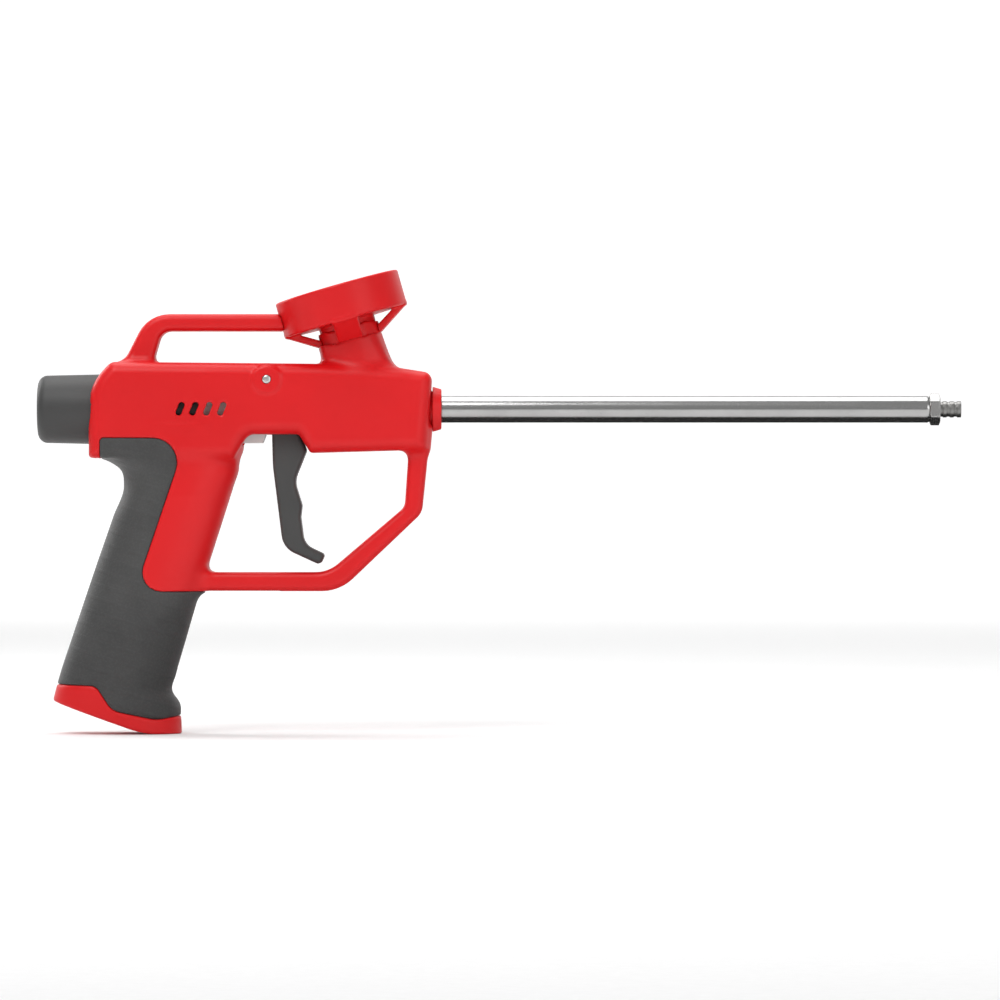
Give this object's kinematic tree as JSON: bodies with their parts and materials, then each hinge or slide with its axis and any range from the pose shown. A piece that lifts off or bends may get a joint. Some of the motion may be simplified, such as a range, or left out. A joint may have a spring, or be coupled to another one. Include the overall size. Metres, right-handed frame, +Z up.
{
  "type": "foam applicator gun",
  "caption": "Trigger-operated applicator gun for screw-on cans of foam or sealant, with a long barrel, barbed nozzle, needle flow regulator and a threaded can ring.",
  "frame": {"origin": "centre of the nozzle's mouth, on the barrel axis", "axes": "+X forward along the barrel, out of the nozzle; +Z up, toward the can; +Y to the holder's left. The stored pose has the trigger released and the regulator in the middle of its travel"},
  "size_m": [0.3424, 0.047, 0.172],
  "materials": {
    "housing": "satin red moulded nylon",
    "grip_sleeve": "soft grey-black overmould, finely textured",
    "butt_cap": "satin red moulded plastic",
    "nose_collar": "satin red moulded plastic",
    "barrel": "satin nickel plate on a steel tube",
    "seals": "black rubber",
    "nozzle": "turned and plated",
    "nozzle_tip": "turned and plated, duller than the barrel",
    "needle": "ground steel rod",
    "hardware": "zinc plated",
    "packing": "off-white sealing ring",
    "brass": "turned brass",
    "valve_block": "die-cast, as cast",
    "can_ring": "satin red moulded plastic",
    "ball": "polished steel ball",
    "springs": "spring steel",
    "trigger": "dark grey moulded nylon",
    "needle_carriage": "light grey moulded acetal",
    "regulator_knob": "dark grey moulded nylon",
    "indicator_sleeve": "near-black moulded acetal"
  },
  "bodies": {
    "gun": {"right_housing": "housing", "left_housing": "housing", "housing_screws": "hardware", "grip_sleeve": "grip_sleeve", "butt_cap": "butt_cap", "can_ring": "can_ring", "inlet_nipple": "brass", "can_seal": "seals", "inlet_ball_spring": "springs", "valve_block": "valve_block", "barrel_tube": "barrel", "barrel_o_ring": "seals", "nozzle_adapter": "nozzle", "nozzle_o_ring": "seals", "nozzle_tip": "nozzle_tip", "nose_collar": "nose_collar", "packing_ring": "packing", "packing_nut": "brass", "trigger_pin": "hardware", "regulator_thread_ring": "brass"},
    "trigger": {"trigger": "trigger"},
    "needle": {"needle_rod": "needle", "needle_carriage": "needle_carriage", "needle_nuts": "hardware"},
    "regulator_slider": {"regulator_o_ring": "seals", "thrust_washer": "hardware", "return_spring": "springs"},
    "regulator": {"regulator_knob": "regulator_knob", "indicator_sleeve": "indicator_sleeve", "stop_screw": "hardware"},
    "ball": {"inlet_ball": "ball"}
  },
  "joints": [
    {"name": "trigger_pull", "type": "hinge", "parent": "gun", "child": "trigger", "pos_m": [-0.2571, 0, 0.0109], "axis": [0, 1, 0], "range_deg": [0, 12], "stiffness_Nm_per_rad": 1.5, "springref_deg": -4.58},
    {"name": "needle_slide", "type": "slide", "parent": "gun", "child": "needle", "axis": [-1, 0, 0], "range_m": [0, 0.00232], "deforming": ["return_spring"]},
    {"name": "regulator_travel", "type": "slide", "parent": "gun", "child": "regulator_slider", "axis": [1, 0, 0], "range_m": [-0.00133, 0.00133], "deforming": ["return_spring"]},
    {"name": "regulator_turn", "type": "hinge", "parent": "regulator_slider", "child": "regulator", "pos_m": [-0.3327, 0, 0], "axis": [1, 0, 0], "range_deg": [-160, 160]},
    {"name": "ball_lift", "type": "slide", "parent": "gun", "child": "ball", "axis": [0.2756, 0, -0.9613], "range_m": [0, 0.0012], "stiffness_N_per_m": 60, "springref_m": -0.001, "deforming": ["inlet_ball_spring"]}
  ],
  "couplings": [
    {"joint": "trigger_pull", "follows": "needle_slide", "rad_per_m": 90.09},
    {"joint": "regulator_turn", "follows": "regulator_travel", "rad_per_m": 2094.4}
  ]
}
